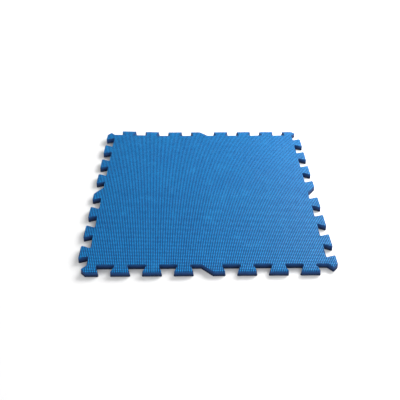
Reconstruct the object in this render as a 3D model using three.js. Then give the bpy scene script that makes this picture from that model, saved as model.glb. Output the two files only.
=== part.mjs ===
// A square interlocking foam mat, of the kind that damp knitting is pinned out on to dry.
//
// Millimetres, +Z up. The origin is on the floor under the middle of the mat, and the four
// sides face -Y, +X, +Y and -X. The mat is one sheet of closed-cell foam in three bonded
// layers: an embossed top skin, the soft core, and a base skin. All three are cut by one die,
// so they share one outline.
//
// The outline fits itself: turned half round about the middle of a side, that side lands on
// itself with tabs in the place of notches. The next mat stands one SIDE away, unturned or
// turned by any quarter, and its tabs fill this mat's notches.

import * as THREE from 'three';

// Driving dimensions of the cut
const SIDE = 600;        // nominal side of the square, the distance from one mat to the next
const TABS = 8;          // tabs on a side, with as many notches between them
const REACH = 12;        // how far a tab stands out of the nominal side, and a notch goes in
const LEAN_RIGHT = 4;    // how far a tab's right flank leans outwards, over REACH
const LEAN_LEFT = 5;     // the same for its left flank, which leans a little more
const MIDDLE_SLANT = 14; // the flank at the middle of a side leans the other way, by this much over REACH
const CORNER_CUT = 12;   // chamfer of the tab and of the notch that meet at each vertex
const ROUNDING = 3;      // radius of the die's corners
const ROUNDING_STEPS = 2; // straight steps that each corner is drawn in

// Driving dimensions of the layers, from the floor up
const BASE_SKIN = 1.5;
const CORE = 11.5;
const TOP_SKIN = 2;

const PITCH = SIDE / TABS;

/** Corners of the side that faces -Y, from its left vertex to just before its right one. */
function frontCorners() {
  const corners = [[0, 0], [CORNER_CUT, -REACH]];
  for (let flank = 1; flank < 2 * TABS; flank++) {
    const x = flank * PITCH / 2;
    const endsATab = flank % 2 === 1;
    if (flank === TABS) {
      corners.push([x - MIDDLE_SLANT, REACH], [x + MIDDLE_SLANT, -REACH]);
    } else if (endsATab) {
      corners.push([x + LEAN_RIGHT, -REACH], [x - LEAN_RIGHT, REACH]);
    } else {
      corners.push([x + LEAN_LEFT, REACH], [x - LEAN_LEFT, -REACH]);
    }
  }
  corners.push([SIDE - CORNER_CUT, REACH]);
  return corners.map(([x, y]) => new THREE.Vector2(x - SIDE / 2, y - SIDE / 2));
}

/** The front side, repeated in quarter turns about the middle of the mat. */
function matCorners() {
  const middle = new THREE.Vector2();
  const corners = [];
  for (let quarter = 0; quarter < 4; quarter++) {
    for (const corner of frontCorners()) {
      corners.push(corner.rotateAround(middle, quarter * Math.PI / 2));
    }
  }
  return corners;
}

/** A closed shape through the corners, each one rounded off by a short curve. */
function roundedShape(corners, radius) {
  const shape = new THREE.Shape();
  corners.forEach((corner, i) => {
    const back = corners.at(i - 1).clone().sub(corner).normalize();
    const on = corners[(i + 1) % corners.length].clone().sub(corner).normalize();
    const length = radius / Math.tan(Math.acos(back.dot(on)) / 2);
    const start = corner.clone().addScaledVector(back, length);
    const end = corner.clone().addScaledVector(on, length);
    if (i === 0) {
      shape.moveTo(start.x, start.y);
    } else {
      shape.lineTo(start.x, start.y);
    }
    shape.quadraticCurveTo(corner.x, corner.y, end.x, end.y);
  });
  shape.closePath();
  return shape;
}

/** One layer of the sheet, lying with its underside at the height given. */
function layer(name, outline, bottom, thickness, look) {
  const geometry = new THREE.ExtrudeGeometry(outline, {
    depth: thickness,
    bevelEnabled: false,
    curveSegments: ROUNDING_STEPS,
  });
  const mesh = new THREE.Mesh(geometry, new THREE.MeshStandardMaterial({ metalness: 0, ...look }));
  mesh.name = name;
  mesh.position.z = bottom;
  return mesh;
}

const outline = roundedShape(matCorners(), ROUNDING);
const mat = new THREE.Group();
mat.add(
  layer('base_skin', outline, 0, BASE_SKIN, { color: 0x195d95, roughness: 0.7 }),
  layer('foam_core', outline, BASE_SKIN, CORE, { color: 0x162b4d, roughness: 0.85 }),
  layer('top_skin', outline, BASE_SKIN + CORE, TOP_SKIN, { color: 0x1675b1, roughness: 0.55 }),
);

export default mat;
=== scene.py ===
"""Looks for the interlocking foam mat: embossed top skin, cut foam core and base skin."""

import math

import bpy
import numpy as np
from mathutils import Matrix, Vector, geometry, noise


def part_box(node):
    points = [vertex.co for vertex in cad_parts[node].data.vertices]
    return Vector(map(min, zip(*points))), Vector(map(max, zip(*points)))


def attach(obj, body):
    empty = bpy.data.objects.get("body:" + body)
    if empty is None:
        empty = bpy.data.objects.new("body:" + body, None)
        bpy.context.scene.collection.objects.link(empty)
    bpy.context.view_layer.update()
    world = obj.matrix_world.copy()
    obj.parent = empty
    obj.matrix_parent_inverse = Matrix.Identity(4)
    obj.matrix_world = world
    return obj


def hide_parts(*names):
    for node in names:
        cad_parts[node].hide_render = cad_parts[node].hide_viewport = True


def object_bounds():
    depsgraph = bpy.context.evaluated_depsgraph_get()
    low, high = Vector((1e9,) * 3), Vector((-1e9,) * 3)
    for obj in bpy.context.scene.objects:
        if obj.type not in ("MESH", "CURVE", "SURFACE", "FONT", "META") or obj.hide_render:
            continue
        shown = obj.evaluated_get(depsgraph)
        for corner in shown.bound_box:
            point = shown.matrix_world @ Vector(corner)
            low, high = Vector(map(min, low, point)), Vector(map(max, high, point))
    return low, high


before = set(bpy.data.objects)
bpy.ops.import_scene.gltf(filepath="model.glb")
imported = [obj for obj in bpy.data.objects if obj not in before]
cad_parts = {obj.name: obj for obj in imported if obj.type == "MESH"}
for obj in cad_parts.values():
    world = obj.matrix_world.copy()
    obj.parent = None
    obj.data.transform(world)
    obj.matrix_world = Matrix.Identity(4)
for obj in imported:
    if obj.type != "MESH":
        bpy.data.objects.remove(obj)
cad_low, cad_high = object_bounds()

MM = 0.001

# The cut, as the CAD model has it
TABS = 8
REACH = 12 * MM
LEAN_RIGHT = 4 * MM
LEAN_LEFT = 5 * MM
MIDDLE_SLANT = 14 * MM
CORNER_CUT = 12 * MM
ROUNDING = 3 * MM
SIDE = cad_high.x - cad_low.x - 2 * REACH
PITCH = SIDE / TABS
TOP = cad_high.z
BASE_SKIN_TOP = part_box("base_skin")[1].z
CORE_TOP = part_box("foam_core")[1].z

# What the knife does to the foam: the edge is drawn down and round, and the wall spreads at its
# foot, most of all on the flanks, where foam is squeezed between two cuts
EDGE_ROUND = 1.0 * MM
EDGE_TURNS = (0, 30, 55, 76)  # degrees round the drawn edge at which the wall has a loop
FOOT_ROUND = 0.5 * MM
FOOT_SPREAD = 0.3 * MM
FLANK_SPREAD = 1.5 * MM
FOOT_CURVE = 1.6              # above 1, so that most of the spread is near the floor
WALL_WAVE = 0.12 * MM
WAVES_ALONG, WAVES_UP = 90, 260  # how fast the wander changes, per metre
WALL_STEP = 6 * MM
CORE_LOOPS = 7
ROUNDING_STEPS = 4

# The ends of the tabs droop, and the back left corner has lifted a little off the floor
DROOP = 1.5 * MM
DROOP_START = 5 * MM
DROOP_LENGTH = 7 * MM
CURL = 5 * MM
CURL_REACH = 200 * MM
CURL_STEP = 25 * MM

# Embossing: rows of small pads, whose columns lean a little across the mat
COLUMNS_PER_PITCH = 17.5
ROWS_PER_PITCH = 15.5
COLUMN_LEAN = 1.1 / COLUMNS_PER_PITCH
EMBOSS_DEPTH = 1.0 * MM
PAD_SLOPE = 0.24            # how much of a cell each of its pad's four slopes takes
SHEET_MARGIN = 4 * MM       # how far the uncut sheet stands outside the tabs
SHEET_UNDER = 2 * MM        # how far it reaches below the top skin
BLANK_LIFT = 0.4 * MM       # how far the blank that cuts it stands above the pads
BLANK_INSET = 1.35 * EDGE_ROUND


# ---------------------------------------------------------------- outline of the cut

def front_corners():
    """Corners of the side that faces -Y, from its left vertex to just before its right one."""
    corners = [(0, 0), (CORNER_CUT, -REACH)]
    for flank in range(1, 2 * TABS):
        x = flank * PITCH / 2
        if flank == TABS:
            corners += [(x - MIDDLE_SLANT, REACH), (x + MIDDLE_SLANT, -REACH)]
        elif flank % 2:
            corners += [(x + LEAN_RIGHT, -REACH), (x - LEAN_RIGHT, REACH)]
        else:
            corners += [(x + LEAN_LEFT, REACH), (x - LEAN_LEFT, -REACH)]
    corners.append((SIDE - CORNER_CUT, REACH))
    return np.array(corners) - SIDE / 2


def mat_corners():
    """The front side, repeated in quarter turns about the middle of the mat."""
    side = front_corners()
    quarter = np.array([[0, 1], [-1, 0]])
    sides = [side]
    for _ in range(3):
        sides.append(sides[-1] @ quarter)
    return np.concatenate(sides)


def unit(v):
    return v / np.linalg.norm(v, axis=-1, keepdims=True)


def rounded(corners):
    """The outline with each corner rounded off, and its straight stretches in short steps."""
    back = unit(np.roll(corners, 1, axis=0) - corners)
    on = unit(np.roll(corners, -1, axis=0) - corners)
    half = np.arccos((back * on).sum(1)) / 2
    length = (ROUNDING / np.tan(half))[:, None]
    start, end = corners + back * length, corners + on * length
    points = []
    for i, corner in enumerate(corners):
        for t in np.linspace(0, 1, ROUNDING_STEPS + 1):
            points.append((1 - t) ** 2 * start[i] + 2 * t * (1 - t) * corner + t * t * end[i])
        following = start[(i + 1) % len(corners)]
        steps = max(1, round(np.linalg.norm(following - end[i]) / WALL_STEP))
        for step in range(1, steps):
            points.append(end[i] + (following - end[i]) * step / steps)
    return np.array(points)


def outward(points):
    """At each point, the direction that moves both of its edges outwards by one."""
    edge = unit(np.roll(points, -1, axis=0) - points)
    out = np.stack([edge[:, 1], -edge[:, 0]], axis=1)
    both = out + np.roll(out, 1, axis=0)
    return 2 * both / (both ** 2).sum(1, keepdims=True)


def flanks(points, out):
    """At each point, 1 on a wall that runs straight out of the mat, and 0 on one along its side."""
    faces_x = np.abs(points[:, 0]) > np.abs(points[:, 1])
    return np.abs(np.where(faces_x, out[:, 1], out[:, 0])) / np.linalg.norm(out, axis=1)


OUTLINE = rounded(mat_corners())
OUT = outward(OUTLINE)
FLANKS = flanks(OUTLINE, OUT)


def foot_share(z):
    """How much of the foot's spread the wall has at height z."""
    return max(0.0, 1 - z / TOP) ** FOOT_CURVE


def wall_offset(z):
    """How far the cut wall stands outside the nominal outline at height z, on the ends of the tabs."""
    foot = max(0.0, 1 - z / FOOT_ROUND)
    edge = max(0.0, (z - (TOP - EDGE_ROUND)) / EDGE_ROUND)
    drawn_in = FOOT_ROUND * (1 - math.sqrt(1 - foot ** 2))
    drawn_in += EDGE_ROUND * (1 - math.sqrt(max(0.0, 1 - edge ** 2)))
    return FOOT_SPREAD * foot_share(z) - drawn_in


def wall_loop(z, offset=None):
    """The outline at height z, offset as the wall is there, with the wander of a cut in soft foam."""
    if offset is None:
        offset = wall_offset(z)
    places = [Vector((x * WAVES_ALONG, y * WAVES_ALONG, z * WAVES_UP)) for x, y in OUTLINE]
    ripple = np.array([noise.noise(place) for place in places])
    offsets = offset + ripple * WALL_WAVE + FLANKS * FLANK_SPREAD * foot_share(z)
    points = OUTLINE + OUT * offsets[:, None]
    return np.column_stack([points, np.full(len(points), z)])


def droop(points):
    """How far each point near the end of a tab has been pressed down by the die."""
    out = np.abs(points[:, :2]).max(1) - SIDE / 2
    pressed = np.clip((out - DROOP_START) / DROOP_LENGTH, 0, 1) ** 2
    return DROOP * pressed * np.clip(points[:, 2] / TOP, 0, 1)


def curl(points):
    """How far each point near the back left corner has lifted."""
    away = np.hypot(points[:, 0] + SIDE / 2, points[:, 1] - SIDE / 2)
    near = np.clip(1 - away / CURL_REACH, 0, 1)
    return CURL * near * near * (3 - 2 * near)


def settled(piece):
    """Gives a finished mesh the droop of its tabs and the curl of its corner."""
    mesh = piece.data
    points = np.empty(len(mesh.vertices) * 3)
    mesh.vertices.foreach_get("co", points)
    points = points.reshape(-1, 3)
    points[:, 2] += curl(points) - droop(points)
    mesh.vertices.foreach_set("co", points.ravel())
    mesh.update()
    return piece


# ---------------------------------------------------------------- meshes

def new_object(name, vertices, faces):
    mesh = bpy.data.meshes.new(name)
    mesh.from_pydata([tuple(v) for v in vertices], [], faces)
    mesh.validate()
    mesh.update()
    made = bpy.data.objects.new(name, mesh)
    bpy.context.scene.collection.objects.link(made)
    return made


def cap(loop):
    """Points and triangles that fill a loop, with points inside it where the curl bends it."""
    steps = np.arange(CURL_STEP, CURL_REACH, CURL_STEP)
    inside = np.array([(x - SIDE / 2, SIDE / 2 - y, loop[0][2]) for x in steps for y in steps])
    points = [Vector(point[:2]) for point in np.concatenate([loop, inside])]
    rim = [(i, (i + 1) % len(loop)) for i in range(len(loop))]
    within_rim, merge_distance = 1, 1e-7
    filled = geometry.delaunay_2d_cdt(points, rim, [], within_rim, merge_distance)
    triangles, origins = filled[2], filled[3]
    return inside, [[origins[v][0] for v in triangle] for triangle in triangles]


def lofted(name, loops):
    """A closed body through loops of equal length, from the lowest to the highest."""
    count = len(loops[0])
    body = count * len(loops)
    under, under_faces = cap(loops[0])
    over, over_faces = cap(loops[-1])

    def numbered(face, rim, inner):
        """A cap's face in the body's numbering, given where its rim and inner points start."""
        return [rim + v if v < count else inner + v - count for v in face]

    faces = [numbered(face, 0, body)[::-1] for face in under_faces]
    for level in range(len(loops) - 1):
        low, high = level * count, (level + 1) * count
        for i in range(count):
            j = (i + 1) % count
            faces.append([low + i, low + j, high + j, high + i])
    faces += [numbered(face, body - count, body + len(under)) for face in over_faces]
    return new_object(name, np.concatenate([*loops, under, over]), faces)


def base_piece():
    heights = [0, 0.1 * MM, 0.3 * MM, FOOT_ROUND, BASE_SKIN_TOP]
    return lofted("base_sheet", [wall_loop(z) for z in heights])


def core_piece():
    heights = np.linspace(BASE_SKIN_TOP, CORE_TOP, CORE_LOOPS)
    return lofted("core_foam", [wall_loop(z) for z in heights])


def cut_blank():
    """The top skin as the knife leaves it, but with a flat top above the embossing."""
    loops = [wall_loop(CORE_TOP)]
    for turn in EDGE_TURNS:
        z = TOP - EDGE_ROUND * (1 - math.sin(math.radians(turn)))
        loops.append(wall_loop(z))
    loops.append(wall_loop(TOP + BLANK_LIFT, -BLANK_INSET))
    return lofted("top_blank", loops)


def embossed_sheet():
    """A slab larger than the mat, with a flat-topped pad in every cell of the embossing."""
    half = SIDE / 2 + REACH + SHEET_MARGIN
    width, depth = PITCH / COLUMNS_PER_PITCH, PITCH / ROWS_PER_PITCH
    across = math.ceil((half + half * COLUMN_LEAN) / width)
    along = math.ceil(half / depth)
    columns, rows = np.arange(-across, across + 1), np.arange(-along, along + 1)
    j, i = np.meshgrid(rows, columns, indexing="ij")

    def place(column, row, z):
        """Points at a column and row of the embossing, counted in cells, and at height z."""
        y = row * depth
        x = column * width - y * COLUMN_LEAN
        return np.stack([x, y, np.full(y.shape, z)], -1).reshape(-1, 3)

    low = place(i.astype(float), j.astype(float), TOP - EMBOSS_DEPTH)
    middle_i, middle_j = i[:-1, :-1] + 0.5, j[:-1, :-1] + 0.5
    reach = 0.5 - PAD_SLOPE
    tops = [place(middle_i + reach * x, middle_j + reach * y, TOP)
            for x, y in ((-1, -1), (1, -1), (1, 1), (-1, 1))]
    index = np.arange(len(low)).reshape(len(rows), len(columns))
    feet = [index[:-1, :-1].ravel(), index[:-1, 1:].ravel(),
            index[1:, 1:].ravel(), index[1:, :-1].ravel()]
    cells = len(feet[0])
    heads = [len(low) + corner * cells + np.arange(cells) for corner in range(4)]
    faces = np.stack(heads, 1).tolist()
    for here, there in ((0, 1), (1, 2), (2, 3), (3, 0)):
        faces += np.stack([feet[here], feet[there], heads[there], heads[here]], 1).tolist()
    rim = np.concatenate([index[0, :], index[1:, -1], index[-1, -2::-1], index[-2:0:-1, 0]])
    under = low[rim].copy()
    under[:, 2] = CORE_TOP - SHEET_UNDER
    first = len(low) + 4 * cells
    for k in range(len(rim)):
        following = (k + 1) % len(rim)
        faces.append([int(rim[following]), int(rim[k]), first + k, first + following])
    faces.append([first + k for k in range(len(rim))][::-1])
    return new_object("top_sheet", np.concatenate([low, *tops, under]), faces)


def top_piece(skin, edge):
    """The embossed sheet cut out by the knife's blank."""
    sheet, blank = embossed_sheet(), cut_blank()
    sheet.data.materials.append(skin)
    blank.data.materials.append(edge)
    cut = sheet.modifiers.new("cut", "BOOLEAN")
    cut.operation = "INTERSECT"
    cut.solver = "MANIFOLD"
    cut.object = blank
    cut.material_mode = "TRANSFER"
    graph = bpy.context.evaluated_depsgraph_get()
    mesh = bpy.data.meshes.new_from_object(sheet.evaluated_get(graph), depsgraph=graph)
    sheet.modifiers.clear()
    sheet.data = mesh
    sheet.data.name = "top_sheet"
    bpy.data.objects.remove(blank)
    return sheet


# ---------------------------------------------------------------- materials

class Nodes:
    """A material's node tree, with a short call for each kind of node used here."""

    def __init__(self, name):
        self.material = bpy.data.materials.new(name)
        self.material.use_nodes = True
        self.tree = self.material.node_tree
        self.shader = self.tree.nodes["Principled BSDF"]
        where = self.tree.nodes.new("ShaderNodeTexCoord")
        self.place = where.outputs["Object"]

    def put(self, value, socket):
        if isinstance(value, bpy.types.NodeSocket):
            self.tree.links.new(value, socket)
        else:
            socket.default_value = value

    def math(self, operation, a, b=0.0, c=0.0):
        node = self.tree.nodes.new("ShaderNodeMath")
        node.operation = operation
        for value, socket in zip((a, b, c), node.inputs):
            self.put(value, socket)
        return node.outputs[0]

    def separate(self, vector):
        node = self.tree.nodes.new("ShaderNodeSeparateXYZ")
        self.put(vector, node.inputs[0])
        return node.outputs

    def scaled(self, vector, scale):
        node = self.tree.nodes.new("ShaderNodeMapping")
        self.put(vector, node.inputs["Vector"])
        node.inputs["Scale"].default_value = scale
        return node.outputs[0]

    def noise(self, scale, detail=3.0, roughness=0.55, vector=None):
        node = self.tree.nodes.new("ShaderNodeTexNoise")
        self.put(vector or self.place, node.inputs["Vector"])
        node.inputs["Scale"].default_value = scale
        node.inputs["Detail"].default_value = detail
        node.inputs["Roughness"].default_value = roughness
        return node.outputs["Fac"]

    def cells(self, scale, vector=None):
        node = self.tree.nodes.new("ShaderNodeTexVoronoi")
        node.feature = "SMOOTH_F1"
        self.put(vector or self.place, node.inputs["Vector"])
        node.inputs["Scale"].default_value = scale
        return node.outputs["Distance"]

    def ramp(self, value, low, high, to_low=0.0, to_high=1.0):
        node = self.tree.nodes.new("ShaderNodeMapRange")
        node.interpolation_type = "SMOOTHSTEP"
        for given, name in ((value, "Value"), (low, "From Min"), (high, "From Max"),
                            (to_low, "To Min"), (to_high, "To Max")):
            self.put(given, node.inputs[name])
        return node.outputs["Result"]

    def mix(self, factor, a, b):
        node = self.tree.nodes.new("ShaderNodeMix")
        node.data_type = "RGBA"
        factor_socket, a_socket, b_socket = node.inputs[0], node.inputs[6], node.inputs[7]
        self.put(factor, factor_socket)
        for colour, socket in ((a, a_socket), (b, b_socket)):
            self.put((*colour, 1.0) if isinstance(colour, tuple) else colour, socket)
        return node.outputs[2]

    def bump(self, height, distance, strength=1.0, normal=None):
        node = self.tree.nodes.new("ShaderNodeBump")
        self.put(height, node.inputs["Height"])
        node.inputs["Distance"].default_value = distance
        node.inputs["Strength"].default_value = strength
        if normal is not None:
            self.put(normal, node.inputs["Normal"])
        return node.outputs[0]

    def finish(self, colour, roughness, normal):
        self.put(colour, self.shader.inputs["Base Color"])
        self.put(roughness, self.shader.inputs["Roughness"])
        self.put(normal, self.shader.inputs["Normal"])
        return self.material


SKIN_BLUE = (0.001, 0.312, 0.775)
SKIN_PALE = (0.002, 0.337, 0.810)
# SKIN_DEEP is a dark blue: random mottle and foam cells, and the painted shade in the grooves of the
# embossing
SKIN_DEEP = (0.001, 0.012, 0.085)
SKIN_WORN = (0.030, 0.390, 0.820)
CUT_BLUE = (0.007, 0.050, 0.175)
# CUT_DEEP is the dark end of the cut foam: its cells, and the painted shade towards the floor
CUT_DEEP = (0.005, 0.012, 0.036)
BASE_BLUE = (0.008, 0.112, 0.310)
BASE_PALE = (0.009, 0.124, 0.340)


def groove(nodes, per_pitch, lean, inner, outer):
    """1 along the middle of a groove of the embossing, falling to 0 on the pads beside it.

    With a lean it gives the grooves between columns, and without one those between rows.
    """
    x, y, _ = nodes.separate(nodes.place)
    across = y if lean is None else nodes.math("MULTIPLY_ADD", y, lean, x)
    turns = nodes.math("MULTIPLY", across, per_pitch / PITCH)
    away = nodes.math("PINGPONG", turns, 0.5)
    return nodes.ramp(away, inner, outer, 1.0, 0.0)


def pad_shade(nodes):
    """A chance value for each pad, because no two take the light quite alike."""
    x, y, _ = nodes.separate(nodes.place)
    across = nodes.math("MULTIPLY_ADD", y, COLUMN_LEAN, x)
    column = nodes.math("MULTIPLY", across, COLUMNS_PER_PITCH / PITCH)
    row = nodes.math("MULTIPLY", y, ROWS_PER_PITCH / PITCH)
    joined = nodes.tree.nodes.new("ShaderNodeCombineXYZ")
    nodes.put(nodes.math("FLOOR", column), joined.inputs[0])
    nodes.put(nodes.math("FLOOR", row), joined.inputs[1])
    chance = nodes.tree.nodes.new("ShaderNodeTexWhiteNoise")
    chance.noise_dimensions = "2D"
    nodes.put(joined.outputs[0], chance.inputs["Vector"])
    return chance.outputs["Value"]


def skin_material():
    """Embossed closed-cell skin: satin, paler where the pads are rubbed, with painted shade darkening
    the grooves.
    """
    nodes = Nodes("embossed_skin")
    nodes.shader.inputs["IOR"].default_value = 1.46
    nodes.shader.inputs["Specular IOR Level"].default_value = 0.32
    cloud = nodes.noise(scale=9.0, detail=4.0)
    mottle = nodes.noise(scale=70.0)
    grain = nodes.noise(scale=2400.0, detail=2.0)
    colour = nodes.mix(nodes.ramp(cloud, 0.3, 0.7), SKIN_BLUE, SKIN_PALE)
    colour = nodes.mix(nodes.ramp(mottle, 0.45, 0.75, to_high=0.15), colour, SKIN_DEEP)
    between_columns = groove(nodes, COLUMNS_PER_PITCH, COLUMN_LEAN, inner=0.16, outer=0.40)
    between_rows = groove(nodes, ROWS_PER_PITCH, None, inner=0.06, outer=0.27)
    grooves = nodes.math("MAXIMUM", between_columns, between_rows)
    # Painted shade: the grooves between the pads are coloured dark, standing in for the shade that
    # falls into them
    colour = nodes.mix(grooves, colour, SKIN_DEEP)
    colour = nodes.mix(nodes.ramp(pad_shade(nodes), 0.0, 1.0, to_high=0.16), colour, SKIN_DEEP)
    patches = nodes.ramp(nodes.noise(scale=28.0, detail=5.0), 0.55, 0.8)
    rubbed = nodes.math("MULTIPLY", patches, nodes.ramp(grain, 0.4, 0.7))
    colour = nodes.mix(nodes.math("MULTIPLY", rubbed, 0.35), colour, SKIN_WORN)
    satin = nodes.ramp(mottle, 0.2, 0.8, to_low=0.40, to_high=0.50)
    roughness = nodes.math("MULTIPLY_ADD", grooves, 0.3, satin)
    normal = nodes.bump(grain, distance=0.06 * MM, strength=0.6)
    return nodes.finish(colour, roughness, normal)


def cut_material(name, pale=0.0):
    """Foam laid open by the knife: matte, with painted shade that deepens towards the floor, and with
    cells and drag lines.
    """
    nodes = Nodes(name)
    nodes.shader.inputs["IOR"].default_value = 1.4
    cells = nodes.cells(scale=1900.0)
    drag = nodes.noise(scale=1.0, detail=2.0, vector=nodes.scaled(nodes.place, (700, 700, 60)))
    cloud = nodes.noise(scale=60.0)
    height = nodes.separate(nodes.place)[2]
    # Painted shade: the cut wall is coloured darker towards the floor, where less light reaches its
    # foot, with a random cloud added
    painted_foot_shade = nodes.ramp(height, 0.0, TOP, to_low=0.70, to_high=-0.20)
    cloud_and_foot_shade = nodes.math("MULTIPLY_ADD", cloud, 0.5, painted_foot_shade)
    colour = nodes.mix(nodes.ramp(cloud_and_foot_shade, 0.0, 1.0), CUT_BLUE, CUT_DEEP)
    colour = nodes.mix(nodes.ramp(cells, 0.2, 0.7, to_high=0.4), colour, CUT_DEEP)
    colour = nodes.mix(pale, colour, SKIN_BLUE)
    normal = nodes.bump(cells, distance=0.12 * MM, strength=0.8)
    normal = nodes.bump(drag, distance=0.10 * MM, strength=0.6, normal=normal)
    roughness = nodes.ramp(drag, 0.2, 0.8, to_low=0.78, to_high=0.92)
    return nodes.finish(colour, roughness, normal)


def base_material():
    """The smoother skin of the underside, with a faint pebble grain."""
    nodes = Nodes("base_skin")
    nodes.shader.inputs["IOR"].default_value = 1.44
    cloud = nodes.noise(scale=14.0, detail=4.0)
    pebble = nodes.cells(scale=900.0)
    colour = nodes.mix(nodes.ramp(cloud, 0.3, 0.7), BASE_BLUE, BASE_PALE)
    colour = nodes.mix(nodes.ramp(pebble, 0.3, 0.8, to_high=0.3), colour, SKIN_DEEP)
    roughness = nodes.ramp(cloud, 0.3, 0.7, to_low=0.6, to_high=0.75)
    normal = nodes.bump(pebble, distance=0.08 * MM, strength=0.7)
    return nodes.finish(colour, roughness, normal)


# ---------------------------------------------------------------- the mat

def build_mat():
    top = settled(top_piece(skin_material(), cut_material("drawn_edge", pale=0.05)))
    core = settled(core_piece())
    core.data.materials.append(cut_material("cut_foam"))
    base = settled(base_piece())
    base.data.materials.append(cut_material("cut_base"))
    base.data.materials.append(base_material())
    for face in base.data.polygons:
        faces_down = face.normal.z < -0.5
        face.material_index = int(faces_down)
    for piece, node in ((top, "top_skin"), (core, "foam_core"), (base, "base_skin")):
        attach(piece, "root")
        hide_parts(node)


# ---------------------------------------------------------------- stage, light and camera

FLOOR_SIZE = 12
FLOOR_WHITE = (0.74, 0.74, 0.74)
FLOOR_SHADED = (0.72, 0.72, 0.72)
WORLD_STRENGTH = 0.38


def build_floor():
    bpy.ops.mesh.primitive_plane_add(size=FLOOR_SIZE, location=(0, 0, cad_low.z))
    floor = bpy.context.object
    floor.name = "floor"
    nodes = Nodes("floor_white")
    shade = nodes.noise(scale=0.6, detail=2.0)
    colour = nodes.mix(nodes.ramp(shade, 0.2, 0.8), FLOOR_SHADED, FLOOR_WHITE)
    normal = nodes.bump(nodes.noise(scale=300.0), distance=0.01 * MM, strength=0.1)
    nodes.finish(colour, 0.9, normal)
    floor.data.materials.append(nodes.material)


def direction(azimuth, elevation):
    """From the mat towards something in degrees round it, 0 in front and 90 to the right, and up."""
    a, e = math.radians(azimuth), math.radians(elevation)
    return Vector((math.sin(a) * math.cos(e), -math.cos(a) * math.cos(e), math.sin(e)))


def area_light(name, azimuth, elevation, distance, size, power, glossy=True):
    """A softbox that faces the mat, of a width and height in metres and a power in watts."""
    away = direction(azimuth, elevation)
    light = bpy.data.lights.new(name, "AREA")
    light.shape = "RECTANGLE"
    light.size, light.size_y = size
    light.energy = power
    made = bpy.data.objects.new(name, light)
    made.location = away * distance
    made.rotation_mode = "QUATERNION"
    made.rotation_quaternion = away.to_track_quat("Z", "Y")
    made.visible_glossy = glossy
    bpy.context.scene.collection.objects.link(made)


def build_light():
    """A dim white room, softboxes to the right, in front and behind, and a ring of low reflectors."""
    world = bpy.data.worlds.new("studio")
    world.use_nodes = True
    background = world.node_tree.nodes["Background"]
    background.inputs["Color"].default_value = (1, 1, 1, 1)
    background.inputs["Strength"].default_value = WORLD_STRENGTH
    world.cycles_visibility.glossy = False
    bpy.context.scene.world = world
    area_light("key_right", 108, 34, distance=1.0, size=(0.7, 0.7), power=11)
    area_light("fill_front", 15, 50, distance=1.0, size=(0.8, 0.6), power=1.6, glossy=False)
    area_light("key_back", 140, 36, distance=2.0, size=(1.2, 1.0), power=44)
    for azimuth, power in ((0, 19), (60, 16), (120, 18), (180, 24), (240, 18), (300, 15)):
        area_light(f"low_{azimuth}", azimuth, 16, distance=2.5, size=(2.4, 1.0), power=power,
                   glossy=False)
    view = bpy.context.scene.view_settings
    view.view_transform = "Standard"
    view.look = "None"


CAMERA_AZIMUTH, CAMERA_ELEVATION, CAMERA_ROLL = -0.77, 39.15, 0.17
CAMERA_DISTANCE = 18.46 * PITCH
CAMERA_TARGET = Vector((3.796 * PITCH - SIDE / 2, 3.396 * PITCH - SIDE / 2, TOP))
FOCAL_LENGTH, SENSOR_WIDTH = 45.27, 36
NEAREST = 0.02


def build_camera():
    a = math.radians(CAMERA_AZIMUTH)
    back = direction(CAMERA_AZIMUTH, CAMERA_ELEVATION)
    right = Vector((math.cos(a), math.sin(a), 0))
    turn = Matrix((right, back.cross(right), back)).transposed()
    roll = Matrix.Rotation(math.radians(CAMERA_ROLL), 3, "Z")
    camera = bpy.data.objects.new("camera", bpy.data.cameras.new("camera"))
    camera.data.lens = FOCAL_LENGTH
    camera.data.sensor_width = SENSOR_WIDTH
    camera.data.clip_start = NEAREST
    camera.location = CAMERA_TARGET + back * CAMERA_DISTANCE
    camera.rotation_mode = "QUATERNION"
    camera.rotation_quaternion = (turn @ roll).to_quaternion()
    bpy.context.scene.collection.objects.link(camera)
    bpy.context.scene.camera = camera


build_camera()
build_mat()
build_floor()
build_light()
